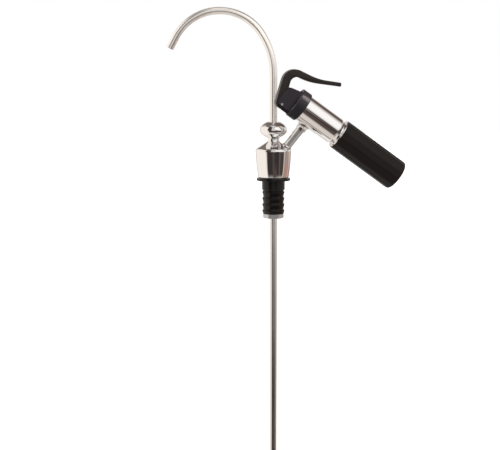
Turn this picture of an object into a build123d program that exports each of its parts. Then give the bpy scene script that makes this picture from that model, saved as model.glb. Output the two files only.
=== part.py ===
from build123d import *
import os
from math import asin, atan2, cos, radians, sin, sqrt, tan

# Wine preservation dispenser, in millimetres.
# Origin: centre of the bottle's lip, on the underside of the rubber flange. +Z is up the stopper,
# -X is the side the spout pours to, and the gas handle stands on the +X side.

# ---- Clearances ----
RUNNING = 0.05              # radial, between a shaft and the bore it turns or slides in
SLACK = 0.3                 # between surfaces of two bodies that pass each other
HAIR = 0.15                 # gap that is closed by the first touch of the lever

# ---- Bung, in the bottle's neck ----
FLANGE_RADIUS = 13.6
FLANGE_THICKNESS = 2.2
BUNG_LAND_RADIUS = 9.25
BUNG_LAND_LENGTH = 7.0
BUNG_CORE_RADIUS = 8.3
BUNG_RIB_RADIUS = 9.2
BUNG_RIB_COUNT = 4
BUNG_RIB_PITCH = 5.0
STEM_RADIUS = 6.0
STEM_BORE_RADIUS = 4.4
STEM_THREAD_LENGTH = 6.0
BUNG_NUT_RADIUS = 8.4
BUNG_NUT_THICKNESS = 3.5

# ---- Stopper body, heights above the flange ----
BODY_BASE_RADIUS = 12.6
BODY_BASE_BEVEL = 0.45
BODY_BASE_BEVEL_HEIGHT = 1.9
BODY_BELLY_RADIUS = 13.85
BODY_BELLY_HEIGHT = 11.0
BODY_BELLY_CURVE = 150.0
BODY_SHOULDER_RADIUS = 14.75
BODY_SHOULDER_HEIGHT = 23.3
BODY_SHOULDER_ROUNDING = 1.2
NECK_FOOT_HEIGHT = 29.4
NECK_FOOT_CURVE = 2.2
NECK_RADIUS = 4.9
NECK_HEIGHT = 30.9
GALLERY_RADIUS = 5.5
GALLERY_TOP = 22.0
GLAND_WEB = 2.0
GLAND_RADIUS = 4.0

# ---- Knob: a flattened ball over the gland ----
KNOB_RADIUS = 10.9
KNOB_HALF_HEIGHT = 7.4
KNOB_CENTRE_HEIGHT = 38.8
KNOB_SIDE_SHARE = 0.70      # radius of the ball's side, to its half height
KNOB_FLAT_RADIUS = 5.2      # of the ball's flat top
KNOB_ROUNDING = 0.9
GLAND_WASHER_THICKNESS = 1.0

# ---- Spout and dip tube ----
SPOUT_RADIUS = 3.0
SPOUT_WALL = 0.5
SPOUT_RISE = 85.4           # height where the straight rise ends
SPOUT_WIDE_BEND = 60.0
SPOUT_WIDE_TURN = 33.0
SPOUT_TIGHT_BEND = 40.0
SPOUT_TIGHT_TURN = 119.0
SPOUT_OUTLET = 10.0
TUBE_JOINT_HEIGHT = 14.0
COUPLING_LENGTH = 9.0
COUPLING_WALL = 1.2
COLLAR_WALL = 1.5
COLLAR_LENGTH = 3.2
DIP_DEPTH = 275.0
DIP_END_ANGLE = 40.0

# ---- Gas inlet, from the stopper's axis up to the handle ----
INLET_HEIGHT = 14.1         # where its axis crosses the stopper's axis
INLET_ELEVATION = 50.9
INLET_AZIMUTH = 18.0        # towards the front
INLET_LENGTH = 51.2         # from axis to axis
INLET_RADIUS = 3.5
INLET_BORE_RADIUS = 2.2
INLET_SOCKET_START = 13.2
INLET_COLLAR_RADIUS = 4.1
INLET_COLLAR_END = 19.2
FERRULE_NECK_RADIUS = 4.1
FERRULE_FLARE_RADIUS = 5.9
FERRULE_LENGTH = 4.4

# ---- Handle, distances along its axis from the inlet, positive towards the grip ----
HANDLE_SWIVEL = 22.1        # turn about the inlet's axis, out of the inlet's own upright plane
BARREL_RADIUS = 11.0
BARREL_START = -9.2
BARREL_SOCKET_DEPTH = 3.0
BARREL_TAPER_START = 22.8
BARREL_TAPER_END = 26.4
SPIGOT_RADIUS = 9.7
SPIGOT_END = 31.6
SPIGOT_BORE_RADIUS = 8.6
HEAD_THREAD_RADIUS = 8.5
HEAD_THREAD_START = -15.6
COLLAR_RADIUS = 12.4
COLLAR_START = -17.5
COLLAR_FRONT_ROUNDING = 1.0
COLLAR_BACK_ROUNDING = 0.8
BOSS_RADIUS = 10.3

# ---- Clevis on the handle's head: places are (along, up), where up is the lever's side ----
HEAD_TURN = 16.0            # turn of the lever's plane about the handle, away from the inlet's
EAR_SPAN = 16.0
EAR_TOP_AT_COLLAR = 9.3
EAR_TOP_CORNER = (-27.9, 6.8)
EAR_TOP_ROUNDING = 1.2
EAR_CURVE_MIDDLE = (-30.4, -3.8)
EAR_BOTTOM_CORNER = (-28.2, -11.4)
EAR_BOTTOM_ROUNDING = 2.0
BLOCK_RADIUS = 12.3
SLOT_FLOOR = -17.8
PIN_ALONG = -26.0
PIN_UP = -8.0
PIN_RADIUS = 1.0

# ---- Lever: corners are (along, up) ----
LEVER_WIDTH = 9.4
LEVER_SWING = 10.0          # degrees, squeezed towards the grip
LEVER_EDGE = 0.8
PAD_ALONG = -20.6           # the flat that meets the plunger
PAD_TOP = 3.8
LEVER_BOTTOM = -11.4
LEVER_HEEL = -29.7
LEVER_HEEL_RADIUS = 3.8
LEVER_CROWN = (-40.8, 20.3)
LEVER_CROWN_RADIUS = 10.5
LEVER_DIP_TOP = (-13.0, 25.2)
LEVER_TIP_TOP = (3.8, 33.8)
LEVER_TIP_BOTTOM = (5.4, 31.0)
LEVER_DIP_BOTTOM = (-17.5, 18.8)
LEVER_DIP_RADIUS = 45.0
LEVER_THROAT = (-32.4, 16.2)
LEVER_THROAT_RADIUS = 5.3
LEVER_ROOT = (-27.6, 3.2)
LEVER_ROOT_RADIUS = 2.5

# ---- Valve, inside the barrel ----
PLUNGER_RADIUS = 2.0
PLUNGER_NECK_RADIUS = 1.3
PLUNGER_TAIL_RADIUS = 1.5
SEAL_POCKET_RADIUS = 4.2
SEAL_POCKET_DEPTH = 2.5
CHAMBER_START = -7.5
CHAMBER_RADIUS = 4.5
SEAT_START = 2.6
SEAT_THICKNESS = 2.6
SEAT_ORIFICE_RADIUS = 2.6
VALVE_BORE_RADIUS = 7.5
POPPET_RADIUS = 4.4
WASHER_THICKNESS = 1.1
POPPET_THICKNESS = 1.4
SPRING_RADIUS = 3.0
SPRING_WIRE_RADIUS = 0.3
SPRING_TURNS = 4
PIERCER_START = 12.3
PIERCER_END = 17.5
PIERCING_PIN_RADIUS = 1.1
PIERCING_PIN_BORE = 0.45
PIERCING_PIN_END = 22.0
CARTRIDGE_SEAL_END = 19.0
CARTRIDGE_SEAL_RADIUS = 4.2

# ---- Grip and cartridge ----
CARTRIDGE_RADIUS = 9.3
CARTRIDGE_LENGTH = 65.0
CARTRIDGE_NECK_RADIUS = 4.4
CARTRIDGE_NECK_LENGTH = 8.0
CARTRIDGE_SHOULDER_LENGTH = 9.5
CARTRIDGE_WALL = 1.6
CARTRIDGE_PIERCE_RADIUS = 1.3
GRIP_START = 28.4
GRIP_END = 86.8
GRIP_RADIUS = 12.7          # over the corners
GRIP_SIDES = 12
GRIP_TURN = -6.0            # first corner, degrees past the front, away from the lever
GRIP_ROUNDING = 3.2
LINER_RADIUS = 11.2
MOUTH_RING_THICKNESS = 1.2
MOUTH_RING_RADIUS = 12.3
CARTRIDGE_PAD_THICKNESS = 1.0
CARTRIDGE_PAD_RADIUS = 8.0

# ---- Placing ----
body_floor = FLANGE_THICKNESS
stem_top = body_floor + STEM_THREAD_LENGTH
gallery_top = body_floor + GALLERY_TOP
neck_top = body_floor + NECK_HEIGHT
bung_length = BUNG_LAND_LENGTH + BUNG_RIB_COUNT * BUNG_RIB_PITCH
stem_bottom = -bung_length - BUNG_NUT_THICKNESS
gland_floor = gallery_top + GLAND_WEB
gland_section = (GLAND_RADIUS - SPOUT_RADIUS - RUNNING) / 2
cartridge_base = CARTRIDGE_SEAL_END + CARTRIDGE_LENGTH
pad_end = cartridge_base + CARTRIDGE_PAD_THICKNESS
poppet_start = SEAT_START + SEAT_THICKNESS
# The squeezed lever's pad pushes hardest at the edge of the plunger that is furthest from the pin.
plunger_travel = (PLUNGER_RADIUS - PIN_UP) * tan(radians(LEVER_SWING))
plunger_end = PIERCER_START - plunger_travel - 2 * SLACK

inlet_flat = cos(radians(INLET_ELEVATION))
inlet_direction = Vector(
    inlet_flat * cos(radians(INLET_AZIMUTH)),
    -inlet_flat * sin(radians(INLET_AZIMUTH)),
    sin(radians(INLET_ELEVATION)),
)
upright_side = Vector(sin(radians(INLET_AZIMUTH)), cos(radians(INLET_AZIMUTH)), 0)
handle_unturned = upright_side.cross(inlet_direction)
handle_direction = (
    handle_unturned * cos(radians(HANDLE_SWIVEL)) + upright_side * sin(radians(HANDLE_SWIVEL))
)
# Inlet pieces are drawn with Z up the tube; handle pieces with Z towards the grip and X up.
INLET = Plane(origin=(0, 0, INLET_HEIGHT), x_dir=handle_direction, z_dir=inlet_direction)
HANDLE = Plane(
    origin=INLET.origin + inlet_direction * INLET_LENGTH,
    x_dir=inlet_direction,
    z_dir=handle_direction,
)
HEAD = Plane(HANDLE.location * Rot(0, 0, -HEAD_TURN))


# ---- Drawing helpers ----
def outline(*corners):
    """Closed face from corners (across, along) or (across, along, rounding)."""
    points = [corner[:2] for corner in corners]
    rounding = [corner[2] if len(corner) > 2 else 0 for corner in corners]
    return make_face(FilletPolyline(*points, radius=rounding, close=True).edges())


def turned(*corners):
    """Solid of revolution about Z from (radius, height, rounding) corners."""
    return revolve(Plane.XZ * outline(*corners), Axis.Z)


def rod(radius, low, high):
    return Pos(0, 0, low) * Cylinder(radius, high - low, align=(Align.CENTER, Align.CENTER, Align.MIN))


def ring(inner, outer, low, high):
    return turned((inner, low), (outer, low), (outer, high), (inner, high))


def milled(face, width):
    """Plate of a face drawn as (up, along), centred on the handle's middle plane."""
    return extrude(Plane.XZ * face, amount=width / 2, both=True)


def o_ring(bore, section, height):
    return Pos(0, 0, height) * Torus(bore + section, section)


# ---- Bung and stem ----
def bung():
    inner = STEM_RADIUS
    corners = [
        (inner, FLANGE_THICKNESS),
        (FLANGE_RADIUS, FLANGE_THICKNESS, 0.5),
        (FLANGE_RADIUS, 0, 0.5),
        (BUNG_LAND_RADIUS, 0),
        (BUNG_LAND_RADIUS, -BUNG_LAND_LENGTH),
    ]
    for rib in range(BUNG_RIB_COUNT):
        top = -BUNG_LAND_LENGTH - rib * BUNG_RIB_PITCH
        corners += [
            (BUNG_CORE_RADIUS, top - 1.2),
            (BUNG_RIB_RADIUS, top - 2.2),
            (BUNG_CORE_RADIUS, top - BUNG_RIB_PITCH),
        ]
    corners.append((inner, -bung_length))
    return turned(*corners)


def stopper_stem():
    return ring(STEM_BORE_RADIUS, STEM_RADIUS, stem_bottom, stem_top)


def bung_nut():
    hexagon = RegularPolygon(radius=BUNG_NUT_RADIUS, side_count=6)
    nut = extrude(Pos(0, 0, stem_bottom) * hexagon, amount=BUNG_NUT_THICKNESS)
    envelope = turned(
        (0, stem_bottom),
        (BUNG_NUT_RADIUS, stem_bottom, 0.9),
        (BUNG_NUT_RADIUS, -bung_length),
        (0, -bung_length),
    )
    return (nut & envelope) - rod(STEM_RADIUS, stem_bottom - 1, 0)


# ---- Stopper ----
def stopper_body():
    shell = turned(
        (0, body_floor),
        (BODY_BASE_RADIUS - BODY_BASE_BEVEL, body_floor),
        (BODY_BASE_RADIUS, body_floor + BODY_BASE_BEVEL_HEIGHT),
        (BODY_BELLY_RADIUS, body_floor + BODY_BELLY_HEIGHT, BODY_BELLY_CURVE),
        (BODY_SHOULDER_RADIUS, body_floor + BODY_SHOULDER_HEIGHT, BODY_SHOULDER_ROUNDING),
        (NECK_RADIUS, body_floor + NECK_FOOT_HEIGHT, NECK_FOOT_CURVE),
        (NECK_RADIUS, neck_top),
        (0, neck_top),
    )
    shell -= rod(STEM_RADIUS, body_floor - 1, stem_top)
    shell -= rod(GALLERY_RADIUS, stem_top, gallery_top)
    shell -= rod(SPOUT_RADIUS + RUNNING, gallery_top, gland_floor)
    shell -= rod(GLAND_RADIUS, gland_floor, neck_top + 1)
    shell -= INLET * rod(INLET_RADIUS, INLET_SOCKET_START, INLET_LENGTH)
    shell -= INLET * rod(INLET_BORE_RADIUS, GALLERY_RADIUS, INLET_SOCKET_START)
    return shell


def gland_ring():
    return o_ring(SPOUT_RADIUS + RUNNING, gland_section, gland_floor + gland_section)


def gland_washer():
    low = gland_floor + 2 * gland_section
    return ring(SPOUT_RADIUS + RUNNING, GLAND_RADIUS, low, low + GLAND_WASHER_THICKNESS)


def gland_knob():
    """Flattened ball of three arcs over a neck, with the spigot that presses the gland."""
    centre = body_floor + KNOB_CENTRE_HEIGHT
    side = KNOB_SIDE_SHARE * KNOB_HALF_HEIGHT
    side_centre = KNOB_RADIUS - side
    rest = KNOB_HALF_HEIGHT - side
    depth = (side_centre**2 - rest**2) / (2 * rest)
    crown = KNOB_HALF_HEIGHT + depth
    lean = atan2(side_centre, depth)
    top = sqrt(crown**2 - KNOB_FLAT_RADIUS**2) - depth
    foot = depth - sqrt(crown**2 - NECK_RADIUS**2)

    def on_crown(angle, half):
        return (crown * sin(angle), centre + half * (crown * cos(angle) - depth))

    flat_lean = asin(KNOB_FLAT_RADIUS / crown)
    neck_lean = asin(NECK_RADIUS / crown)
    bore = SPOUT_RADIUS + RUNNING
    spigot_foot = gland_floor + 2 * gland_section + GLAND_WASHER_THICKNESS
    face = make_face([
        Polyline(
            (NECK_RADIUS, centre + foot),
            (NECK_RADIUS, neck_top),
            (GLAND_RADIUS, neck_top),
            (GLAND_RADIUS, spigot_foot),
            (bore, spigot_foot),
            (bore, centre + top),
            (KNOB_FLAT_RADIUS, centre + top),
        ).edges(),
        ThreePointArc(
            on_crown(flat_lean, 1), on_crown((flat_lean + lean) / 2, 1), on_crown(lean, 1)
        ).edge(),
        ThreePointArc(on_crown(lean, 1), (KNOB_RADIUS, centre), on_crown(lean, -1)).edge(),
        ThreePointArc(
            on_crown(lean, -1), on_crown((neck_lean + lean) / 2, -1), on_crown(neck_lean, -1)
        ).edge(),
    ])
    rims = face.vertices().filter_by(
        lambda corner: abs(corner.X - KNOB_FLAT_RADIUS) < 0.01
        or (abs(corner.X - NECK_RADIUS) < 0.01 and corner.Y > neck_top + 0.1)
    )
    return revolve(Plane.XZ * fillet(rims, KNOB_ROUNDING), Axis.Z)


# ---- Wine path ----
def spout_tube():
    rise = Line((0, TUBE_JOINT_HEIGHT), (0, SPOUT_RISE))
    wide = JernArc(rise @ 1, (0, 1), SPOUT_WIDE_BEND, SPOUT_WIDE_TURN)
    tight = JernArc(wide @ 1, wide % 1, SPOUT_TIGHT_BEND, SPOUT_TIGHT_TURN)
    outlet = Line(tight @ 1, (tight @ 1) + (tight % 1) * SPOUT_OUTLET)
    path = Plane.XZ * Wire([rise.edge(), wide.edge(), tight.edge(), outlet.edge()])
    section = Pos(0, 0, TUBE_JOINT_HEIGHT) * (Circle(SPOUT_RADIUS) - Circle(SPOUT_RADIUS - SPOUT_WALL))
    return sweep(section, path=path)


def spout_collar():
    top = gallery_top - SLACK
    return ring(SPOUT_RADIUS, SPOUT_RADIUS + COLLAR_WALL, top - COLLAR_LENGTH, top)


def tube_coupling():
    half = COUPLING_LENGTH / 2
    return turned(
        (SPOUT_RADIUS, TUBE_JOINT_HEIGHT - half),
        (SPOUT_RADIUS + COUPLING_WALL, TUBE_JOINT_HEIGHT - half),
        (SPOUT_RADIUS + COUPLING_WALL, TUBE_JOINT_HEIGHT + half),
        (SPOUT_RADIUS, TUBE_JOINT_HEIGHT + half),
    )


def dip_tube():
    tube = ring(SPOUT_RADIUS - SPOUT_WALL, SPOUT_RADIUS, -DIP_DEPTH, TUBE_JOINT_HEIGHT)
    cutter = Box(40, 40, 20, align=(Align.CENTER, Align.CENTER, Align.MAX))
    slope = SPOUT_RADIUS * tan(radians(DIP_END_ANGLE))
    return tube - Pos(0, 0, -DIP_DEPTH + slope) * Rot(0, DIP_END_ANGLE, 0) * cutter


# ---- Gas inlet ----
def inlet_tube():
    end = INLET_LENGTH - BARREL_RADIUS + BARREL_SOCKET_DEPTH
    return INLET * ring(INLET_BORE_RADIUS, INLET_RADIUS, INLET_SOCKET_START, end)


def inlet_collar(body):
    foot = INLET_SOCKET_START + 2
    collar = turned(
        (INLET_RADIUS, foot),
        (INLET_COLLAR_RADIUS, foot),
        (INLET_COLLAR_RADIUS, INLET_COLLAR_END - 1, 1.5),
        (INLET_RADIUS, INLET_COLLAR_END),
    )
    return INLET * collar - body


def inlet_ferrule():
    """Bell-shaped ring that seats on the barrel's underside."""
    foot = INLET_LENGTH - BARREL_RADIUS - FERRULE_LENGTH
    bell = turned(
        (INLET_RADIUS, foot),
        (FERRULE_NECK_RADIUS, foot),
        (FERRULE_NECK_RADIUS, foot + 3.0, 2.2),
        (FERRULE_FLARE_RADIUS, foot + FERRULE_LENGTH + 0.4),
        (FERRULE_FLARE_RADIUS, foot + FERRULE_LENGTH + 3),
        (INLET_RADIUS, foot + FERRULE_LENGTH + 3),
    )
    return INLET * bell - HANDLE * rod(BARREL_RADIUS, -30, 30)


# ---- Handle ----
def handle_barrel():
    barrel = turned(
        (0, HEAD_THREAD_START),
        (HEAD_THREAD_RADIUS, HEAD_THREAD_START),
        (HEAD_THREAD_RADIUS, BARREL_START),
        (BARREL_RADIUS, BARREL_START),
        (BARREL_RADIUS, BARREL_TAPER_START, 3.5),
        (SPIGOT_RADIUS, BARREL_TAPER_END),
        (SPIGOT_RADIUS, SPIGOT_END),
        (0, SPIGOT_END),
    )
    barrel -= rod(SEAL_POCKET_RADIUS, HEAD_THREAD_START - 1, HEAD_THREAD_START + SEAL_POCKET_DEPTH)
    barrel -= rod(PLUNGER_RADIUS + RUNNING, HEAD_THREAD_START, CHAMBER_START)
    barrel -= rod(CHAMBER_RADIUS, CHAMBER_START, SEAT_START)
    barrel -= rod(VALVE_BORE_RADIUS, SEAT_START, PIERCER_END)
    barrel -= rod(SPIGOT_BORE_RADIUS, PIERCER_END, SPIGOT_END + 1)
    socket_end = INLET_LENGTH - BARREL_RADIUS + BARREL_SOCKET_DEPTH
    placed = HANDLE * barrel
    placed -= INLET * rod(INLET_RADIUS, INLET_LENGTH - 2 * BARREL_RADIUS, socket_end)
    placed -= INLET * rod(INLET_BORE_RADIUS, socket_end - 1, INLET_LENGTH)
    return placed


def head_collar():
    collar = turned(
        (BOSS_RADIUS, COLLAR_START),
        (COLLAR_RADIUS, COLLAR_START, COLLAR_FRONT_ROUNDING),
        (COLLAR_RADIUS, BARREL_START, COLLAR_BACK_ROUNDING),
        (BOSS_RADIUS, BARREL_START),
    )
    return HANDLE * collar


def head_clevis():
    """Threaded boss with two ears that carry the lever's pin."""
    foot = COLLAR_START + SLACK
    top_corner, middle, bottom_corner = [
        (up, along) for along, up in (EAR_TOP_CORNER, EAR_CURVE_MIDDLE, EAR_BOTTOM_CORNER)
    ]
    side = make_face([
        Line((EAR_TOP_AT_COLLAR, foot), top_corner).edge(),
        ThreePointArc(top_corner, middle, bottom_corner).edge(),
        Line(bottom_corner, (bottom_corner[0], foot)).edge(),
        Line((bottom_corner[0], foot), (EAR_TOP_AT_COLLAR, foot)).edge(),
    ])
    ends = side.vertices().filter_by(lambda corner: corner.Y < foot - 1).sort_by(Axis.X)
    side = fillet(ends[0], EAR_BOTTOM_ROUNDING)
    ends = side.vertices().filter_by(lambda corner: corner.Y < foot - 1).sort_by(Axis.X)
    side = fillet(ends[-1], EAR_TOP_ROUNDING)
    block = milled(side, EAR_SPAN) & rod(BLOCK_RADIUS, EAR_CURVE_MIDDLE[0] - 1, COLLAR_START)
    block += rod(BOSS_RADIUS, COLLAR_START, BARREL_START)
    block -= rod(HEAD_THREAD_RADIUS, HEAD_THREAD_START, BARREL_START + 1)
    block -= rod(PLUNGER_RADIUS + RUNNING, SLOT_FLOOR - 1, HEAD_THREAD_START)
    slot = Box(3 * COLLAR_RADIUS, LEVER_WIDTH + 2 * SLACK, 20, align=(Align.CENTER, Align.CENTER, Align.MAX))
    block -= Pos(0, 0, SLOT_FLOOR) * slot
    block -= pin_rod(EAR_SPAN + 2, PIN_RADIUS)
    return HEAD * block


def pin_rod(length, radius):
    return Pos(PIN_UP, 0, PIN_ALONG) * Rot(90, 0, 0) * Cylinder(radius, length)


def lever_pin():
    pin = pin_rod(EAR_SPAN + 0.5, PIN_RADIUS)
    return HEAD * chamfer(pin.edges().filter_by(GeomType.CIRCLE), 0.2)


def lever():
    """Bent thumb lever, drawn from its side."""
    corners = [
        ((LEVER_HEEL, LEVER_BOTTOM), LEVER_HEEL_RADIUS),
        (LEVER_CROWN, LEVER_CROWN_RADIUS),
        (LEVER_DIP_TOP, LEVER_DIP_RADIUS),
        (LEVER_TIP_TOP, 1.2),
        (LEVER_TIP_BOTTOM, 1.0),
        (LEVER_DIP_BOTTOM, LEVER_DIP_RADIUS),
        (LEVER_THROAT, LEVER_THROAT_RADIUS),
        (LEVER_ROOT, LEVER_ROOT_RADIUS),
        ((PAD_ALONG, PAD_TOP), 1.2),
        ((PAD_ALONG, LEVER_BOTTOM), 3.6),
    ]
    side = outline(*[(up, along, rounding) for (along, up), rounding in corners])
    arm = milled(side, LEVER_WIDTH)
    side_edges = [
        edge for edge in arm.edges() if abs(abs(edge.center().Y) - LEVER_WIDTH / 2) < 0.01
    ]
    arm = fillet(side_edges, LEVER_EDGE)
    return HEAD * (arm - pin_rod(EAR_SPAN, PIN_RADIUS + RUNNING))


# ---- Valve ----
def valve_plunger():
    start = PAD_ALONG + HAIR
    washer_end = poppet_start + WASHER_THICKNESS
    poppet_end = washer_end + POPPET_THICKNESS
    return HANDLE * turned(
        (0, start),
        (PLUNGER_RADIUS, start, 1.0),
        (PLUNGER_RADIUS, CHAMBER_START + 4),
        (PLUNGER_NECK_RADIUS, CHAMBER_START + 5),
        (PLUNGER_NECK_RADIUS, washer_end),
        (POPPET_RADIUS, washer_end),
        (POPPET_RADIUS, poppet_end),
        (PLUNGER_TAIL_RADIUS, poppet_end),
        (PLUNGER_TAIL_RADIUS, plunger_end),
        (0, plunger_end),
    )


def valve_washer():
    return HANDLE * ring(
        PLUNGER_NECK_RADIUS, POPPET_RADIUS, poppet_start, poppet_start + WASHER_THICKNESS
    )


def plunger_seal():
    section = (SEAL_POCKET_RADIUS - PLUNGER_RADIUS - RUNNING) / 2
    bore = PLUNGER_RADIUS + RUNNING
    return HANDLE * o_ring(bore, section, HEAD_THREAD_START + SEAL_POCKET_DEPTH / 2)


def valve_seat():
    return HANDLE * ring(SEAT_ORIFICE_RADIUS, VALVE_BORE_RADIUS, SEAT_START, poppet_start)


def valve_spring():
    low = poppet_start + WASHER_THICKNESS + POPPET_THICKNESS + SPRING_WIRE_RADIUS
    height = PIERCER_START - SPRING_WIRE_RADIUS - low
    coil = Helix(pitch=height / SPRING_TURNS, height=height, radius=SPRING_RADIUS)
    section = Plane(origin=coil @ 0, z_dir=coil % 0) * Circle(SPRING_WIRE_RADIUS)
    return HANDLE * (Pos(0, 0, low) * sweep(section, path=coil, is_frenet=True))


def piercer_plug():
    return HANDLE * ring(PIERCING_PIN_RADIUS, VALVE_BORE_RADIUS, PIERCER_START, PIERCER_END)


def piercing_pin():
    return HANDLE * turned(
        (PIERCING_PIN_BORE, PIERCER_START),
        (PIERCING_PIN_RADIUS, PIERCER_START),
        (PIERCING_PIN_RADIUS, PIERCING_PIN_END - 1.6),
        (PIERCING_PIN_BORE + 0.1, PIERCING_PIN_END),
        (PIERCING_PIN_BORE, PIERCING_PIN_END),
    )


def cartridge_seal():
    return HANDLE * ring(
        PIERCING_PIN_RADIUS + SLACK, CARTRIDGE_SEAL_RADIUS, PIERCER_END, CARTRIDGE_SEAL_END
    )


# ---- Grip and cartridge ----
def gas_cartridge():
    top = CARTRIDGE_SEAL_END
    shoulder = top + CARTRIDGE_NECK_LENGTH
    shoulder_end = shoulder + CARTRIDGE_SHOULDER_LENGTH
    inner = CARTRIDGE_RADIUS - CARTRIDGE_WALL
    shell = turned(
        (CARTRIDGE_PIERCE_RADIUS, top),
        (CARTRIDGE_NECK_RADIUS, top),
        (CARTRIDGE_NECK_RADIUS, shoulder),
        (CARTRIDGE_RADIUS, shoulder_end - 3.0, 5.5),
        (CARTRIDGE_RADIUS, cartridge_base, 4.0),
        (0, cartridge_base),
        (0, cartridge_base - CARTRIDGE_WALL),
        (inner, cartridge_base - CARTRIDGE_WALL),
        (inner, shoulder_end - 2.0),
        (CARTRIDGE_PIERCE_RADIUS, shoulder + 2.0),
    )
    return HANDLE * shell


def grip_sleeve():
    prism = extrude(
        Pos(0, 0, GRIP_START)
        * RegularPolygon(radius=GRIP_RADIUS, side_count=GRIP_SIDES, rotation=GRIP_TURN),
        amount=GRIP_END - GRIP_START,
    )
    envelope = turned(
        (0, GRIP_START),
        (GRIP_RADIUS, GRIP_START, 0.5),
        (GRIP_RADIUS, GRIP_END, GRIP_ROUNDING),
        (0, GRIP_END),
    )
    return HANDLE * ((prism & envelope) - rod(LINER_RADIUS, GRIP_START - 1, pad_end))


def grip_liner():
    return HANDLE * ring(SPIGOT_RADIUS + RUNNING, LINER_RADIUS, GRIP_START, pad_end)


def grip_mouth_ring():
    low = GRIP_START - MOUTH_RING_THICKNESS
    return HANDLE * turned(
        (SPIGOT_RADIUS + RUNNING, low),
        (MOUTH_RING_RADIUS, low, 0.5),
        (MOUTH_RING_RADIUS, GRIP_START),
        (SPIGOT_RADIUS + RUNNING, GRIP_START),
    )


def cartridge_pad():
    return HANDLE * rod(CARTRIDGE_PAD_RADIUS, cartridge_base, pad_end)


stopper = stopper_body()
nodes = {
    "bung": bung(),
    "stopper_stem": stopper_stem(),
    "bung_nut": bung_nut(),
    "stopper_body": stopper,
    "gland_ring": gland_ring(),
    "gland_washer": gland_washer(),
    "gland_knob": gland_knob(),
    "spout_tube": spout_tube(),
    "spout_collar": spout_collar(),
    "tube_coupling": tube_coupling(),
    "dip_tube": dip_tube(),
    "inlet_tube": inlet_tube(),
    "inlet_collar": inlet_collar(stopper),
    "inlet_ferrule": inlet_ferrule(),
    "handle_barrel": handle_barrel(),
    "head_collar": head_collar(),
    "head_clevis": head_clevis(),
    "lever_pin": lever_pin(),
    "lever": lever(),
    "valve_plunger": valve_plunger(),
    "valve_washer": valve_washer(),
    "plunger_seal": plunger_seal(),
    "valve_seat": valve_seat(),
    "valve_spring": valve_spring(),
    "piercer_plug": piercer_plug(),
    "piercing_pin": piercing_pin(),
    "cartridge_seal": cartridge_seal(),
    "gas_cartridge": gas_cartridge(),
    "grip_sleeve": grip_sleeve(),
    "grip_liner": grip_liner(),
    "grip_mouth_ring": grip_mouth_ring(),
    "cartridge_pad": cartridge_pad(),
}

os.makedirs("parts", exist_ok=True)
for name, solid in nodes.items():
    export_step(solid, os.path.join("parts", name + ".step"))
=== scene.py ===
import bpy
import bmesh
from math import asin, atan2, ceil, cos, degrees, pi, radians, sin, sqrt
from mathutils import Matrix, Vector


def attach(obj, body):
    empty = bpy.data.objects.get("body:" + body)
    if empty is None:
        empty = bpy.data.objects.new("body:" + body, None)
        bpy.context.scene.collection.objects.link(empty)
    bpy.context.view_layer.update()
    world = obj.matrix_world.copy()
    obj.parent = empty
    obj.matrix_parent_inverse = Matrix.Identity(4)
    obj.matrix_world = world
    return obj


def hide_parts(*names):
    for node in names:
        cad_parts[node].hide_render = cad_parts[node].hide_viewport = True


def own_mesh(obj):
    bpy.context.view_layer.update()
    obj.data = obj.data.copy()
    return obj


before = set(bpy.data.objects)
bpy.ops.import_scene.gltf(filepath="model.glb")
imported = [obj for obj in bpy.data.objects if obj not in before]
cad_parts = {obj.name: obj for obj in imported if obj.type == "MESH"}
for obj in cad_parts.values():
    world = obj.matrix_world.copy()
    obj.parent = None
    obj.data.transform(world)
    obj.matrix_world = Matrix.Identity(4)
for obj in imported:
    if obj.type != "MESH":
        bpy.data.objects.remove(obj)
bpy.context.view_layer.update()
MM = 0.001

# ---- Angles and sizes that several pieces share, as in the CAD source; sizes in millimetres ----
INLET_ELEVATION = radians(50.9)
INLET_AZIMUTH = radians(18.0)    # towards the front
HANDLE_SWIVEL = radians(22.1)    # about the inlet's axis
HEAD_TURN = radians(16.0)        # about the handle's axis
INLET_HEIGHT = 14.1        # where the inlet's axis crosses the stopper's
INLET_LENGTH = 51.2        # from there to the handle's axis
INLET_RADIUS = 3.5
LIP = 2.2                  # thickness of the bung's flange, on which the stopper stands
STEM_RADIUS = 6.0
GLAND_RADIUS = 4.0
NECK_RADIUS = 4.9
NECK_TOP = LIP + 30.9      # the knob's neck starts here
SPOUT_RADIUS = 3.0
SPOUT_FIT = 3.05           # radius of the holes that the spout turns in
BARREL_RADIUS = 11.0
BARREL_START = -9.2        # along the handle; the head collar ends here
SPIGOT_RADIUS = 9.7
GRIP_MOUTH = 27.2          # along the handle; the solid's is at 28.4

WELD = 1e-7                # metres
TINY = 1e-6                # millimetres
BUMP_DEPTH = 0.00002       # metres

# ---- Directions ----
UP_INLET = Vector((
    cos(INLET_ELEVATION) * cos(INLET_AZIMUTH),
    -cos(INLET_ELEVATION) * sin(INLET_AZIMUTH),
    sin(INLET_ELEVATION),
))
INLET_SIDE = Vector((sin(INLET_AZIMUTH), cos(INLET_AZIMUTH), 0))
ALONG_HANDLE = (                 # towards the grip
    INLET_SIDE.cross(UP_INLET) * cos(HANDLE_SWIVEL) + INLET_SIDE * sin(HANDLE_SWIVEL)
)
UP_HEAD = UP_INLET * cos(HEAD_TURN) + UP_INLET.cross(ALONG_HANDLE) * sin(HEAD_TURN)
INLET_AT = Vector((0, 0, INLET_HEIGHT))
HANDLE_AT = INLET_AT + UP_INLET * INLET_LENGTH


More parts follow.
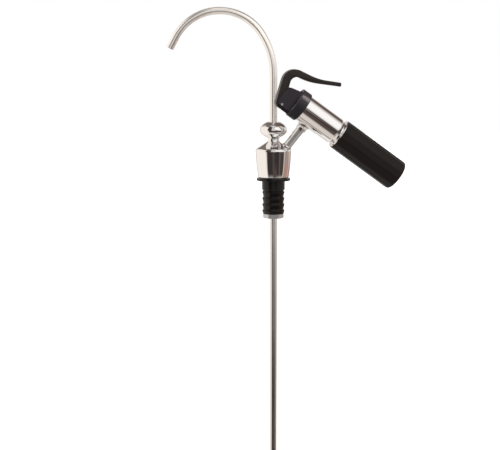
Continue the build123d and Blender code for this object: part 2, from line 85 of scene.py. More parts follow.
def placed(origin, x, z):
    """Place of a piece whose own mesh is drawn with that x and z; the origin is in millimetres."""
    y = z.cross(x)
    return Matrix((
        (x.x, y.x, z.x, origin[0] * MM),
        (x.y, y.y, z.y, origin[1] * MM),
        (x.z, y.z, z.z, origin[2] * MM),
        (0, 0, 0, 1),
    ))


UPRIGHT = placed((0, 0, 0), Vector((1, 0, 0)), Vector((0, 0, 1)))
INLET = placed(INLET_AT, ALONG_HANDLE, UP_INLET)
HANDLE = placed(HANDLE_AT, UP_INLET, ALONG_HANDLE)
HEAD = placed(HANDLE_AT, UP_HEAD, ALONG_HANDLE)


# ---- Mesh helpers ----
def rounded(*corners, step=4.0, close=True):
    """Points of an outline whose corners are (x, y) or (x, y, rounding); step is in degrees."""
    pts = []
    n = len(corners)
    for i, c in enumerate(corners):
        p = Vector(c[:2])
        r = c[2] if len(c) > 2 else 0
        if r <= 0 or (not close and i in (0, n - 1)):
            pts.append(p)
            continue
        a = (Vector(corners[i - 1][:2]) - p).normalized()
        b = (Vector(corners[(i + 1) % n][:2]) - p).normalized()
        half = a.angle(b) / 2
        reach = r / (sin(half) / cos(half))
        centre = p + (a + b).normalized() * (r / sin(half))
        start = p + a * reach - centre
        end = p + b * reach - centre
        a0 = atan2(start.y, start.x)
        turn = (atan2(end.y, end.x) - a0 + pi) % (2 * pi) - pi
        steps = max(2, ceil(abs(degrees(turn)) / step))
        for k in range(steps + 1):
            g = a0 + turn * k / steps
            pts.append(centre + Vector((cos(g), sin(g))) * r)
    return pts


def turns(count):
    """Angles of so many even steps round a circle."""
    return [2 * pi * k / count for k in range(count)]


def circle(radius, z, count):
    return [Vector((radius * cos(g), radius * sin(g), z)) for g in turns(count)]


def finish_mesh(bm, name, place, body, mat, node, sharp=28.0):
    """Makes the object, which stands for the CAD node and rides on the body; sharp is in degrees."""
    bmesh.ops.remove_doubles(bm, verts=bm.verts, dist=WELD)
    bmesh.ops.recalc_face_normals(bm, faces=bm.faces)
    for f in bm.faces:
        f.smooth = True
    for e in bm.edges:
        if len(e.link_faces) == 2 and e.calc_face_angle(0) > radians(sharp):
            e.smooth = False
    me = bpy.data.meshes.new(name)
    bm.to_mesh(me)
    bm.free()
    ob = bpy.data.objects.new(name, me)
    bpy.context.collection.objects.link(ob)
    me.materials.append(mat)
    ob.matrix_world = place
    bpy.context.view_layer.update()
    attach(ob, body)
    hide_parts(node)
    return ob


def grid_rings(bm, rings, closed):
    """Faces between rings of equal length; a ring of one point is a pole."""
    vs = [[bm.verts.new(p) for p in ring] for ring in rings]
    count = len(vs)
    for i in range(count if closed else count - 1):
        lo, hi = vs[i], vs[(i + 1) % count]
        if len(lo) == 1 and len(hi) == 1:
            continue
        n = max(len(lo), len(hi))
        for k in range(n):
            m = (k + 1) % n
            quad = [lo[k % len(lo)], lo[m % len(lo)], hi[m % len(hi)], hi[k % len(hi)]]
            face = []
            for v in quad:
                if v not in face:
                    face.append(v)
            if len(face) > 2:
                bm.faces.new(face)


def lathe(name, profile, place, body, mat, node, segments, shape=None):
    """Revolved closed outline of (radius, height) points, in place's frame."""
    bm = bmesh.new()
    rings = []
    for p in profile:
        ring = circle(p.x, p.y, segments)
        if shape:
            ring = [shape(q) for q in ring]
        rings.append([q * MM for q in ring])
    grid_rings(bm, rings, True)
    finish_mesh(bm, name, place, body, mat, node)


def plate(name, outline, width, edge, place, body, mat, node):
    """Plate of an (up, along) outline, centred on the frame's XZ plane, with rounded side edges."""
    n = len(outline)
    area = sum(
        outline[i].x * outline[(i + 1) % n].y - outline[(i + 1) % n].x * outline[i].y
        for i in range(n)
    )
    side = 1 if area > 0 else -1
    normals = []
    for i in range(n):
        ahead = (outline[(i + 1) % n] - outline[i]).normalized()
        t = ahead + (outline[i] - outline[i - 1]).normalized()
        t.normalize()
        normals.append(Vector((t.y, -t.x)) * side)
    bm = bmesh.new()
    rings = []
    edge_steps = 6
    for sgn in (-1, 1):
        arc = [radians(90 * k / edge_steps) for k in range(edge_steps + 1)]
        if sgn > 0:
            arc.reverse()
        for g in arc:
            inset = edge * (1 - sin(g))
            y = sgn * (width / 2 - edge + edge * cos(g))
            rings.append([
                Vector((p.x - m.x * inset, y, p.y - m.y * inset)) * MM
                for p, m in zip(outline, normals)
            ])
    grid_rings(bm, rings, False)
    bm.verts.ensure_lookup_table()
    bm.faces.new([bm.verts[k] for k in range(n)])
    last = len(bm.verts) - n
    bm.faces.new([bm.verts[last + k] for k in reversed(range(n))])
    finish_mesh(bm, name, place, body, mat, node, sharp=40.0)


def dressed(node, body, mat):
    """The CAD node's own mesh, welded and shaded smooth, standing for the node."""
    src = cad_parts[node]
    bm = bmesh.new()
    bm.from_mesh(src.data)
    place = src.matrix_world.copy()
    return finish_mesh(bm, node + "_dressed", place, body, mat, node, sharp=25.0)


# ---- Materials ----
def noise(nt, scale, detail, stretch=(1, 1, 1)):
    co = nt.nodes.new("ShaderNodeTexCoord")
    mp = nt.nodes.new("ShaderNodeMapping")
    mp.inputs["Scale"].default_value = stretch
    nt.links.new(co.outputs["Object"], mp.inputs["Vector"])
    nz = nt.nodes.new("ShaderNodeTexNoise")
    nz.inputs["Scale"].default_value = scale
    nz.inputs["Detail"].default_value = detail
    nt.links.new(mp.outputs[0], nz.inputs["Vector"])
    return nz.outputs["Fac"]


def mapped(nt, fac, lo, hi):
    """Spreads the middle of a noise over lo to hi."""
    mr = nt.nodes.new("ShaderNodeMapRange")
    mr.inputs["From Min"].default_value = 0.3
    mr.inputs["From Max"].default_value = 0.7
    mr.inputs["To Min"].default_value = lo
    mr.inputs["To Max"].default_value = hi
    nt.links.new(fac, mr.inputs["Value"])
    return mr.outputs[0]


def mixed(nt, fac, c1, c2):
    mx = nt.nodes.new("ShaderNodeMix")
    mx.data_type = "RGBA"
    nt.links.new(fac, mx.inputs["Factor"])
    mx.inputs["A"].default_value = (*c1, 1)
    mx.inputs["B"].default_value = (*c2, 1)
    return mx.outputs["Result"]


def bump(nt, bsdf, fac, strength):
    bp = nt.nodes.new("ShaderNodeBump")
    bp.inputs["Strength"].default_value = strength
    bp.inputs["Distance"].default_value = BUMP_DEPTH
    nt.links.new(fac, bp.inputs["Height"])
    nt.links.new(bp.outputs[0], bsdf.inputs["Normal"])


def surface(name, c1, c2, rough, grain, detail, patches, relief, stretch):
    """Colour that drifts from c1 to c2 in patches, and a finer grain in the roughness and relief."""
    m = bpy.data.materials.new(name)
    m.use_nodes = True
    nt = m.node_tree
    nt.nodes.clear()
    out = nt.nodes.new("ShaderNodeOutputMaterial")
    bsdf = nt.nodes.new("ShaderNodeBsdfPrincipled")
    nt.links.new(bsdf.outputs[0], out.inputs[0])
    fine = noise(nt, grain, detail, stretch)
    broad = noise(nt, patches, 3.0)
    nt.links.new(mixed(nt, broad, c1, c2), bsdf.inputs["Base Color"])
    nt.links.new(mapped(nt, fine, *rough), bsdf.inputs["Roughness"])
    if relief:
        bump(nt, bsdf, fine, relief)
    return m, bsdf


def metal(name, c1, c2, rough, grain=900.0, relief=0.0, stretch=(1, 1, 1), metallic=1.0):
    m, bsdf = surface(name, c1, c2, rough, grain, detail=2.0, patches=60.0, relief=relief, stretch=stretch)
    bsdf.inputs["Metallic"].default_value = metallic
    return m


def plastic(name, c1, c2, rough, spec, grain=1500.0, relief=0.0, stretch=(1, 1, 1)):
    m, bsdf = surface(name, c1, c2, rough, grain, detail=3.0, patches=90.0, relief=relief, stretch=stretch)
    bsdf.inputs["Specular IOR Level"].default_value = spec
    return m


TURNED = (1, 1, 8)         # a grain that is finer along Z than across it
chrome = metal("chrome_polished", (0.93, 0.925, 0.92), (0.91, 0.905, 0.90), (0.02, 0.045))
satin = metal("chrome_satin", (0.80, 0.79, 0.785), (0.74, 0.73, 0.725), (0.10, 0.15))
drawn = metal("chrome_drawn", (0.72, 0.71, 0.70), (0.67, 0.66, 0.65), (0.08, 0.12), metallic=0.75)
turned = metal(
    "steel_turned", (0.62, 0.62, 0.63), (0.55, 0.55, 0.56), (0.22, 0.36), 700.0, 0.2, TURNED)
brass = metal(
    "brass_turned", (0.72, 0.55, 0.26), (0.64, 0.48, 0.22), (0.22, 0.34), 700.0, 0.2, TURNED)
zinc = metal("steel_zinc", (0.66, 0.67, 0.68), (0.58, 0.59, 0.60), (0.28, 0.42), 500.0, 0.2)
tube_steel = metal(
    "steel_tube", (0.96, 0.92, 0.88), (0.93, 0.89, 0.85), (0.05, 0.08), metallic=0.78)
dip_steel = metal(
    "steel_dip", (0.88, 0.87, 0.86), (0.83, 0.82, 0.81), (0.12, 0.2), 700.0, 0.2, (1, 1, 0.02))
head_black = plastic(
    "black_gloss", (0.0165, 0.015, 0.0175), (0.0195, 0.018, 0.021), (0.24, 0.28), 0.12)
clevis_black = plastic(
    "black_satin", (0.0205, 0.0185, 0.0215), (0.0235, 0.0215, 0.025), (0.24, 0.28), 0.0)
lever_black = plastic(
    "black_lever", (0.0155, 0.0115, 0.0105), (0.019, 0.0142, 0.013), (0.28, 0.36), 0.3, relief=0.06)
grip_black = plastic(
    "black_grip", (0.0085, 0.0060, 0.0053), (0.0108, 0.0077, 0.0068), (0.30, 0.38), 0.14,
    900.0, 0.06, (1, 1, 0.1))
bung_rubber = plastic(
    "black_rubber", (0.004, 0.0035, 0.003), (0.006, 0.005, 0.0045), (0.16, 0.28), 0.3, 1800.0, 0.05)
seal_rubber = plastic(
    "seal_rubber", (0.03, 0.03, 0.03), (0.04, 0.04, 0.04), (0.4, 0.55), 0.5, 1800.0, 0.3)

# ---- Bung: flange, land and ribs ----
FLANGE_RADIUS, FLANGE_ROUNDING = 13.6, 0.5
LAND_RADIUS, LAND_LENGTH = 9.25, 7.0
RIB_COUNT, RIB_PITCH, RIB_RADIUS, CORE_RADIUS = 4, 5.0, 9.2, 8.3
ribs = []
for k in range(RIB_COUNT):
    top = -LAND_LENGTH - RIB_PITCH * k
    ribs += [(CORE_RADIUS, top - 1.2, 0.35), (RIB_RADIUS, top - 2.2, 0.3), (CORE_RADIUS, top - RIB_PITCH)]
lathe("bung_moulded", rounded(
    (STEM_RADIUS, LIP), (FLANGE_RADIUS, LIP, FLANGE_ROUNDING), (FLANGE_RADIUS, 0, FLANGE_ROUNDING),
    (LAND_RADIUS, 0), (LAND_RADIUS, -LAND_LENGTH), *ribs,
    (STEM_RADIUS, -LAND_LENGTH - RIB_PITCH * RIB_COUNT), step=9.0,
), UPRIGHT, "stopper", bung_rubber, "bung", 128)

# ---- Stopper: bevelled base, a side that widens upwards, rounded shoulder and cone ----
FOOT_RADIUS, BEVEL_RADIUS, BEVEL_TOP = 11.95, 12.58, LIP + 1.3   # more slanted than the solid's
BELLY_RADIUS, BELLY_HEIGHT, BELLY_CURVE = 13.85, LIP + 11.0, 150.0
SHOULDER_RADIUS, SHOULDER_HEIGHT = 14.75, LIP + 23.3
SHOULDER_ROUNDING = 2.6    # the solid has 1.2
CONE_TOP, CONE_CURVE = LIP + 29.4, 2.2
GALLERY_RADIUS, GALLERY_FLOOR, GALLERY_TOP, GLAND_FLOOR = 5.5, LIP + 6.0, LIP + 22.0, LIP + 24.0
lathe("stopper_body_polished", rounded(
    (STEM_RADIUS, LIP), (FOOT_RADIUS, LIP), (BEVEL_RADIUS, BEVEL_TOP),
    (BELLY_RADIUS, BELLY_HEIGHT, BELLY_CURVE), (SHOULDER_RADIUS, SHOULDER_HEIGHT, SHOULDER_ROUNDING),
    (NECK_RADIUS, CONE_TOP, CONE_CURVE), (NECK_RADIUS, NECK_TOP), (GLAND_RADIUS, NECK_TOP),
    (GLAND_RADIUS, GLAND_FLOOR), (SPOUT_FIT, GLAND_FLOOR), (SPOUT_FIT, GALLERY_TOP),
    (GALLERY_RADIUS, GALLERY_TOP), (GALLERY_RADIUS, GALLERY_FLOOR), (STEM_RADIUS, GALLERY_FLOOR),
    step=2.0,
), UPRIGHT, "stopper", chrome, "stopper_body", 256)

# ---- Knob ----
KNOB_RADIUS, KNOB_HALF_HEIGHT, KNOB_CENTRE = 10.9, 7.4, LIP + 38.8
KNOB_FLAT = 5.2            # radius of the ball's flat top
KNOB_SIDE = 0.70           # radius of the ball's side, to its half height
KNOB_ROUNDING = 0.9        # at the ball's foot and rim
KNOB_SPIGOT_FOOT = LIP + 26.0


def knob_profile():
    """Flattened ball of three arcs over a neck, as in the CAD source."""
    side = KNOB_SIDE * KNOB_HALF_HEIGHT
    away = KNOB_RADIUS - side
    rest = KNOB_HALF_HEIGHT - side
    depth = (away ** 2 - rest ** 2) / (2 * rest)
    crown = KNOB_HALF_HEIGHT + depth
    lean = atan2(away, depth)

    def on_crown(g, half):
        return Vector((crown * sin(g), KNOB_CENTRE + half * (crown * cos(g) - depth)))

    flat_lean, neck_lean = asin(KNOB_FLAT / crown), asin(NECK_RADIUS / crown)
    steps, side_steps = 26, 60
    ball = [on_crown(neck_lean + (lean - neck_lean) * k / steps, -1) for k in range(steps)]
    g0 = pi / 2 - lean
    for k in range(side_steps + 1):
        g = -g0 + 2 * g0 * k / side_steps
        ball.append(Vector((away + side * cos(g), KNOB_CENTRE + side * sin(g))))
    ball += [on_crown(lean + (flat_lean - lean) * k / steps, 1) for k in range(1, steps + 1)]
    foot, top = ball[0], ball[-1]
    low = rounded(
        (NECK_RADIUS, NECK_TOP), (foot.x, foot.y, KNOB_ROUNDING), ball[4], close=False, step=5.0)[1:-1]
    high = rounded(
        ball[-4], (top.x, top.y, KNOB_ROUNDING), (SPOUT_FIT, top.y), close=False, step=5.0)[1:-1]
    reach_low = (low[-1] - foot).length
    reach_high = (high[0] - top).length
    keep = [p for p in ball if (p - foot).length > reach_low and (p - top).length > reach_high]
    return [Vector((NECK_RADIUS, NECK_TOP))] + low + keep + high + [
        Vector((SPOUT_FIT, top.y)), Vector((SPOUT_FIT, KNOB_SPIGOT_FOOT)),
        Vector((GLAND_RADIUS, KNOB_SPIGOT_FOOT)), Vector((GLAND_RADIUS, NECK_TOP)),
    ]


lathe("gland_knob_polished", knob_profile(), UPRIGHT, "stopper", chrome, "gland_knob", 256)

# ---- Spout: a straight rise, a wide bend, a tight bend and a straight outlet ----
SPOUT_FOOT, SPOUT_RISE, SPOUT_OUTLET = 14.0, 85.4, 10.0
SPOUT_BENDS = ((60.0, 33.0), (40.0, 119.0))    # radius, turn in degrees
SPOUT_BORE = 2.5
BEND_STEP = 1.5            # degrees


def gooseneck():
    up = Vector((0, 1))
    rise_steps, outlet_steps = 30, 6
    around = turns(96)
    pts = []
    for k in range(rise_steps + 1):
        pts.append((Vector((0, SPOUT_FOOT + (SPOUT_RISE - SPOUT_FOOT) * k / rise_steps)), up))
    for radius, turn in SPOUT_BENDS:
        p, d = pts[-1]
        centre = p + Vector((-d.y, d.x)) * radius
        steps = int(turn / BEND_STEP)
        start = p - centre
        for k in range(1, steps + 1):
            rot = Matrix.Rotation(radians(turn * k / steps), 2)
            pts.append((centre + rot @ start, rot @ d))
    p, d = pts[-1]
    for k in range(1, outlet_steps + 1):
        pts.append((p + d * SPOUT_OUTLET * k / outlet_steps, d))
    outer, inner = [], []
    for p, d in pts:
        across = Vector((d.y, 0, -d.x))
        for radius, rings in ((SPOUT_RADIUS, outer), (SPOUT_BORE, inner)):
            rings.append([
                MM * (Vector((p.x, 0, p.y)) + across * (radius * cos(g)) + Vector((0, radius * sin(g), 0)))
                for g in around
            ])
    bm = bmesh.new()
    grid_rings(bm, outer + inner[::-1], True)
    finish_mesh(bm, "spout_gooseneck", UPRIGHT, "spout", tube_steel, "spout_tube")


gooseneck()
dressed("dip_tube", "spout", dip_steel)

# ---- Gas inlet: a tube from the stopper's socket to the barrel's, and a bell over its upper end ----
INLET_BORE, INLET_START, BARREL_SOCKET = 2.2, 13.2, 3.0
INLET_END = INLET_LENGTH - BARREL_RADIUS + BARREL_SOCKET
lathe("inlet_tube_polished", [Vector(p) for p in (
    (INLET_BORE, INLET_START), (INLET_RADIUS, INLET_START),
    (INLET_RADIUS, INLET_END), (INLET_BORE, INLET_END),
)], INLET, "stopper", drawn, "inlet_tube", 128)
dressed("inlet_collar", "stopper", satin)


def seated(q):
    """Keeps the bell's top on the barrel's underside."""
    limit = INLET_LENGTH - sqrt(BARREL_RADIUS ** 2 - q.y ** 2)
    return Vector((q.x, q.y, min(q.z, limit)))


BELL_NECK, BELL_FLARE, BELL_LENGTH = 4.1, 5.9, 4.4
BELL_FOOT = INLET_LENGTH - BARREL_RADIUS - BELL_LENGTH
BELL_TOP = BELL_FOOT + BELL_LENGTH + 3.0       # before it is seated
lathe("inlet_ferrule_polished", rounded(
    (INLET_RADIUS, BELL_FOOT), (BELL_NECK, BELL_FOOT), (BELL_NECK, BELL_FOOT + 3.0, 2.2),
    (BELL_FLARE, BELL_FOOT + BELL_LENGTH + 0.4), (BELL_FLARE, BELL_TOP), (INLET_RADIUS, BELL_TOP),
), INLET, "stopper", satin, "inlet_ferrule", 128, seated)

# ---- Barrel: thread for the head, taper, spigot for the grip, and the valve's bores ----
THREAD_RADIUS, THREAD_START = 8.5, -15.6
TAPER_START, TAPER_ROUNDING = 22.8, 3.5
TAPER_END = 25.3           # the solid's is at 26.4
SPIGOT_BORE, SPIGOT_END = 8.6, 31.6
VALVE_BORE, SEAT_START, PIERCER_END = 7.5, 2.6, 17.5
CHAMBER_RADIUS, CHAMBER_START, PLUNGER_FIT = 4.5, -7.5, 2.05
POCKET_RADIUS, POCKET_END = 4.2, THREAD_START + 2.5
lathe("barrel_polished", rounded(
    (POCKET_RADIUS, THREAD_START), (THREAD_RADIUS, THREAD_START, 0.5), (THREAD_RADIUS, BARREL_START),
    (BARREL_RADIUS, BARREL_START), (BARREL_RADIUS, TAPER_START, TAPER_ROUNDING),
    (SPIGOT_RADIUS, TAPER_END, 0.4), (SPIGOT_RADIUS, SPIGOT_END, 0.4), (SPIGOT_BORE, SPIGOT_END),
    (SPIGOT_BORE, PIERCER_END), (VALVE_BORE, PIERCER_END), (VALVE_BORE, SEAT_START),
    (CHAMBER_RADIUS, SEAT_START), (CHAMBER_RADIUS, CHAMBER_START), (PLUNGER_FIT, CHAMBER_START),
    (PLUNGER_FIT, POCKET_END), (POCKET_RADIUS, POCKET_END), step=2.0,
), HANDLE, "stopper", chrome, "handle_barrel", 256)

# ---- Head: collar, clevis, pin and lever ----
BOSS_RADIUS, COLLAR_RADIUS, COLLAR_START = 10.3, 12.4, -17.5
COLLAR_ROUNDING = 0.8      # at the front too, where the solid has 1.0
lathe("head_collar_moulded", rounded(
    (BOSS_RADIUS, COLLAR_START), (COLLAR_RADIUS, COLLAR_START, COLLAR_ROUNDING),
    (COLLAR_RADIUS, BARREL_START, COLLAR_ROUNDING), (BOSS_RADIUS, BARREL_START), step=6.0,
), HANDLE, "stopper", head_black, "head_collar", 256)
dressed("head_clevis", "stopper", clevis_black)
dressed("lever_pin", "stopper", turned)

LEVER_WIDTH, LEVER_EDGE = 9.4, 0.8
lever_outline = [Vector((p.y, p.x)) for p in rounded(
    (-29.7, -11.4, 3.8), (-40.8, 20.3, 10.5), (-13.0, 25.2, 45.0), (3.8, 33.8, 1.2), (5.4, 31.0, 1.0),
    (-17.5, 18.8, 45.0), (-32.4, 16.2, 5.3), (-27.6, 3.2, 2.5), (-20.6, 3.8, 1.2),
    (-20.6, -11.4, 3.6), step=3.0,
)]
plate("lever_moulded", lever_outline, LEVER_WIDTH, LEVER_EDGE, HEAD, "lever", lever_black,
      "lever")

# ---- Grip: its mouth ring, and twelve long flats with softened corners and a rounded end ----
SPIGOT_FIT = SPIGOT_RADIUS + 0.05
RING_START, RING_FRONT_RADIUS, RING_RADIUS, RING_ROUNDING = 26.3, 12.1, 12.3, 0.45
lathe("mouth_ring_polished", rounded(
    (SPIGOT_FIT, RING_START), (RING_FRONT_RADIUS, RING_START, RING_ROUNDING),
    (RING_RADIUS, GRIP_MOUTH), (SPIGOT_FIT, GRIP_MOUTH), step=6.0,
), HANDLE, "grip", satin, "grip_mouth_ring", 192)

GRIP_END, GRIP_RADIUS, GRIP_SIDES, GRIP_TURN = 86.8, 12.7, 12, radians(-6.0)
GRIP_ROUNDING, MOUTH_ROUNDING = 3.2, 0.5
LINER_RADIUS, GRIP_FLOOR = 11.2, 85.0
CORNER_POWER = 110.0       # the higher, the sharper the corners between the flats
STATIONS, STEPS_PER_FLAT = 24, 20


def grip():
    flat = GRIP_RADIUS * cos(pi / GRIP_SIDES)
    envelope = rounded(
        (0.0, GRIP_MOUTH), (GRIP_RADIUS, GRIP_MOUTH, MOUTH_ROUNDING),
        (GRIP_RADIUS, GRIP_END, GRIP_ROUNDING), (0.0, GRIP_END), step=5.0)
    stations = []
    for i, p in enumerate(envelope):
        q = envelope[(i + 1) % len(envelope)]
        stations.append(p)
        if abs(p.x - GRIP_RADIUS) < TINY and abs(q.x - GRIP_RADIUS) < TINY:
            stations += [p.lerp(q, k / STATIONS) for k in range(1, STATIONS)]
    stations = [p for p in stations if p.y > GRIP_MOUTH + TINY or p.x > LINER_RADIUS]
    around = GRIP_SIDES * STEPS_PER_FLAT
    rings = [[q * MM for q in circle(LINER_RADIUS, GRIP_MOUTH, around)]]
    for p in stations:
        if p.x < TINY:
            rings.append([Vector((0, 0, p.y)) * MM])
            continue
        ring = []
        for g in turns(around):
            s = 0.0
            for f in range(GRIP_SIDES):
                c = cos(g - GRIP_TURN - pi / GRIP_SIDES - 2 * pi * f / GRIP_SIDES)
                if c > 0:
                    s += (c / flat) ** CORNER_POWER
            r = min(s ** (-1 / CORNER_POWER), p.x)
            ring.append(Vector((r * cos(g), r * sin(g), p.y)) * MM)
        rings.append(ring)
    rings.append([Vector((0, 0, GRIP_FLOOR)) * MM])
    rings.append([q * MM for q in circle(LINER_RADIUS, GRIP_FLOOR, around)])
    bm = bmesh.new()
    grid_rings(bm, rings, True)
    finish_mesh(bm, "grip_moulded", HANDLE, "grip", grip_black, "grip_sleeve", sharp=24.0)


grip()

# ---- Valve spring: the real one shortens towards the piercer plug as the plunger slides; here it is dressed and gets a mesh of its own ----
spring = dressed("valve_spring", "stopper", turned)
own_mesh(spring)

# ---- Hidden from mirror rays, which isn't physical: it keeps a dark patch off the tube beside the head ----
for name in ("head_collar_moulded", "head_clevis_dressed", "lever_moulded", "grip_moulded"):
    bpy.data.objects[name].visible_glossy = False

# ---- Inner pieces keep their CAD shape ----
inner_finish = {
    "stopper_stem": turned, "bung_nut": turned, "gland_ring": seal_rubber, "gland_washer": brass,
    "spout_collar": brass, "tube_coupling": brass, "valve_plunger": brass,
    "valve_washer": seal_rubber, "plunger_seal": seal_rubber, "valve_seat": brass,
    "piercer_plug": brass, "piercing_pin": turned, "cartridge_seal": seal_rubber,
    "gas_cartridge": zinc, "grip_liner": turned, "cartridge_pad": seal_rubber,
}
for node, mat in inner_finish.items():
    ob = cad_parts[node]
    ob.data.materials.clear()
    ob.data.materials.append(mat)

# ---- Floor, just under the dip tube; its glow is for the camera only ----
FLOOR_HEIGHT, FLOOR_GLOW = -0.2765, 0.5
bpy.ops.mesh.primitive_plane_add(size=8.0, location=(0, 1.5, FLOOR_HEIGHT))
floor = bpy.context.object
floor.name = "floor"
floor_white = bpy.data.materials.new("floor_white")
floor_white.use_nodes = True
nt = floor_white.node_tree
nt.nodes.clear()
out = nt.nodes.new("ShaderNodeOutputMaterial")
diff = nt.nodes.new("ShaderNodeBsdfDiffuse")
diff.inputs["Color"].default_value = (0.86, 0.86, 0.86, 1)
glow = nt.nodes.new("ShaderNodeEmission")
glow.inputs["Color"].default_value = (1, 1, 1, 1)
add = nt.nodes.new("ShaderNodeAddShader")
path = nt.nodes.new("ShaderNodeLightPath")
mul = nt.nodes.new("ShaderNodeMath")
mul.operation = "MULTIPLY"
mul.inputs[1].default_value = FLOOR_GLOW
nt.links.new(path.outputs["Is Camera Ray"], mul.inputs[0])
nt.links.new(mul.outputs[0], glow.inputs["Strength"])
nt.links.new(diff.outputs[0], add.inputs[0])
nt.links.new(glow.outputs[0], add.inputs[1])
nt.links.new(add.outputs[0], out.inputs[0])
floor.data.materials.append(floor_white)
floor.visible_glossy = False
floor.visible_diffuse = False

# ---- World: white to the camera, a plain level on the object, and a studio that the metal mirrors ----
world = bpy.data.worlds.new("studio")
bpy.context.scene.world = world
world.use_nodes = True
wt = world.node_tree
wt.nodes.clear()


def wmath(op, a, b=None):
    n = wt.nodes.new("ShaderNodeMath")
    n.operation = op
    for i, v in enumerate((a, b)):
        if v is None:
            continue
        if isinstance(v, (int, float)):
            n.inputs[i].default_value = v
        else:
            wt.links.new(v, n.inputs[i])
    return n.outputs[0]


def smooth(v, lo, hi):
    n = wt.nodes.new("ShaderNodeMapRange")
    n.interpolation_type = "SMOOTHSTEP"
    n.inputs["From Min"].default_value = lo
    n.inputs["From Max"].default_value = hi
    wt.links.new(v, n.inputs["Value"])
    return n.outputs[0]


def wmix(fac, a, b):
    n = wt.nodes.new("ShaderNodeMix")
    n.data_type = "RGBA"
    wt.links.new(fac, n.inputs["Factor"])
    for key, v in (("A", a), ("B", b)):
        if isinstance(v, tuple):
            n.inputs[key].default_value = (*v, 1)
        else:
            wt.links.new(v, n.inputs[key])
    return n.outputs["Result"]


DEG = 180 / pi
co = wt.nodes.new("ShaderNodeTexCoord")
sep = wt.nodes.new("ShaderNodeSeparateXYZ")
wt.links.new(co.outputs["Generated"], sep.inputs[0])
frontward = wmath("MULTIPLY", sep.outputs["Y"], -1.0)
azimuth = wmath("MULTIPLY", wmath("ARCTAN2", sep.outputs["X"], frontward), DEG)
height = wmath("MULTIPLY", wmath("ARCSINE", sep.outputs["Z"]), DEG)


def band(v, ends, soft):
    """1 between the ends, which are softened by their own amounts."""
    rise = smooth(v, ends[0] - soft[0], ends[0] + soft[0])
    fall = wmath("SUBTRACT", 1.0, smooth(v, ends[1] - soft[1], ends[1] + soft[1]))
    return wmath("MULTIPLY", rise, fall)


# Panels in degrees: azimuth from the front, with the right positive, and height over the horizon.
# Each lies over the ones before it: azimuths, heights, colour, softness of both, and strength.
PANELS = (
    ((-140, -50), (-60, 30), (0.98, 0.91, 0.84), 6, (6, 6), 1.0),
    ((-108, -50), (20, 44), (0.98, 0.91, 0.84), 8, (6, 6), 1.0),
    ((-170, -98), (-75, -52), (0.95, 0.92, 0.88), 8, (5, 5), 1.0),
    ((-90, -66), (-75, -60), (0.26, 0.24, 0.225), 5, (4, 4), 1.0),
    ((-48, 48), (62, 84), (0.80, 0.77, 0.74), 10, (4, 4), 1.0),
    ((-172, -138), (22, 60), (0.20, 0.155, 0.14), 8, (6, 6), 1.0),
    ((78, 120), (-45, -6), (0.42, 0.25, 0.205), 3, (5, 5), 1.0),
    ((124, 160), (-45, -6), (0.38, 0.27, 0.23), 6, (5, 5), 1.0),
    ((15, 95), (-62, -46), (0.30, 0.28, 0.275), 8, (5, 5), 1.0),
    ((104, 165), (22, 60), (0.13, 0.085, 0.075), 16, (8, 8), 1.0),
    ((-44, 46), (-39, -7), (0.040, 0.031, 0.029), 4, (12, 3), 1.0),
    ((19, 30), (-10, 3), (0.045, 0.036, 0.034), 3, (5, 5), 1.0),
    ((44, 73), (-34, -8), (0.060, 0.050, 0.046), 3, (8, 3), 1.0),
    ((-5, 24), (-42, -17), (0.092, 0.062, 0.053), 5, (12, 4), 1.0),
    ((-53, -16), (-8, 60), (0.060, 0.045, 0.038), 4, (5, 5), 1.0),
    ((-13, 9), (-7, 62), (0.62, 0.59, 0.57), 4, (4, 4), 1.0),
    ((72, 77), (-30, -4), (0.60, 0.50, 0.43), 2, (4, 4), 1.0),
    ((37, 43), (-30, -6), (0.14, 0.13, 0.125), 3, (4, 4), 0.7),
    ((-7, 6), (-22, -6), (0.075, 0.070, 0.070), 4, (4, 4), 0.8),
    ((14, 80), (9, 57), (1.05, 1.02, 1.0), 6, (8, 8), 1.0),
)
GROUND, WALLS, CEILING = (0.70, 0.63, 0.57), (0.74, 0.71, 0.68), (0.16, 0.13, 0.115)
studio = wmix(smooth(height, -60, -30), GROUND, WALLS)
studio = wmix(smooth(height, 42, 54), studio, CEILING)
for azimuths, heights, panel_colour, soft, soft_heights, strength in PANELS:
    mask = wmath("MULTIPLY", band(azimuth, azimuths, (soft, soft)), band(height, heights, soft_heights))
    if strength < 1.0:
        mask = wmath("MULTIPLY", mask, strength)
    studio = wmix(mask, studio, panel_colour)

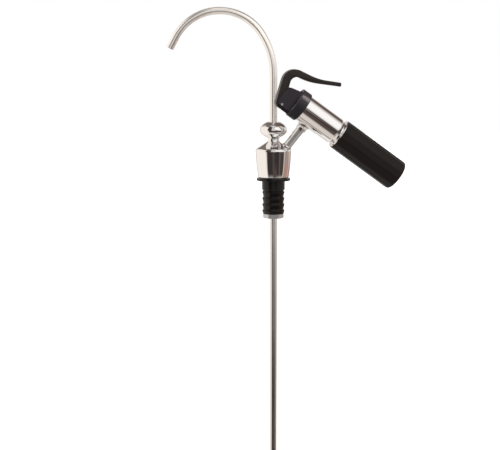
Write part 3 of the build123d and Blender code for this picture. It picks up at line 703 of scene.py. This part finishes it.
path = wt.nodes.new("ShaderNodeLightPath")
seen = wmath("MAXIMUM", path.outputs["Is Glossy Ray"], path.outputs["Is Transmission Ray"])
WHITE, DIM = (1.0, 1.0, 1.0), (0.30, 0.30, 0.30)
plain = wmix(smooth(height, -50, 20), DIM, WHITE)
colour = wmix(path.outputs["Is Camera Ray"], wmix(seen, plain, studio), WHITE)
back = wt.nodes.new("ShaderNodeBackground")
wt.links.new(colour, back.inputs["Color"])
wout = wt.nodes.new("ShaderNodeOutputWorld")
wt.links.new(back.outputs[0], wout.inputs[0])


# ---- Lamps ----
def lamp(name, at, aim, size, watts, tint=(1, 1, 1), mirrored=True):
    data = bpy.data.lights.new(name, "AREA")
    data.shape = "RECTANGLE"
    data.size, data.size_y = size
    data.energy = watts
    data.color = tint
    ob = bpy.data.objects.new(name, data)
    bpy.context.collection.objects.link(ob)
    ob.visible_glossy = mirrored
    ob.location = at
    ob.rotation_euler = (Vector(aim) - Vector(at)).to_track_quat("-Z", "Y").to_euler()
    return ob


lamp("key", (-0.9, -0.7, 0.75), (0, 0, 0.03), (0.5, 0.5), 7.0, (1.0, 0.97, 0.93), mirrored=False)
lamp("fill", (0.68, -0.57, 0.50), (0, 0, 0.03), (0.5, 0.32), 4.5, (1.0, 0.96, 0.93), mirrored=False)
collar_light = lamp(             # it shines on the collar and the clevis only
    "collar_light", (0.80, -0.27, 0.70), (0.02, -0.01, 0.06), (0.5, 0.32), 12.0, (1.0, 0.88, 0.82))
lit = bpy.data.collections.new("collar_light_on")
for name in ("head_collar_moulded", "head_clevis_dressed"):
    lit.objects.link(bpy.data.objects[name])
collar_light.light_linking.receiver_collection = lit
lamp("glint", (0.06, -1.1, 0.17), (0, 0, 0.04), (0.06, 0.06), 0.025)

# ---- Camera ----
CAMERA_PITCH = 6.66        # degrees down
cam = bpy.data.cameras.new("camera")
cam.lens = 111.6
cam.sensor_width = 36.0
cam.clip_start = 0.01
cam.clip_end = 50.0
eye = bpy.data.objects.new("camera", cam)
eye.location = (-0.01895, -1.25, 0.1097)
eye.rotation_euler = (radians(90 - CAMERA_PITCH), 0, 0)
bpy.context.collection.objects.link(eye)
bpy.context.scene.camera = eye
bpy.context.scene.view_settings.view_transform = "Standard"
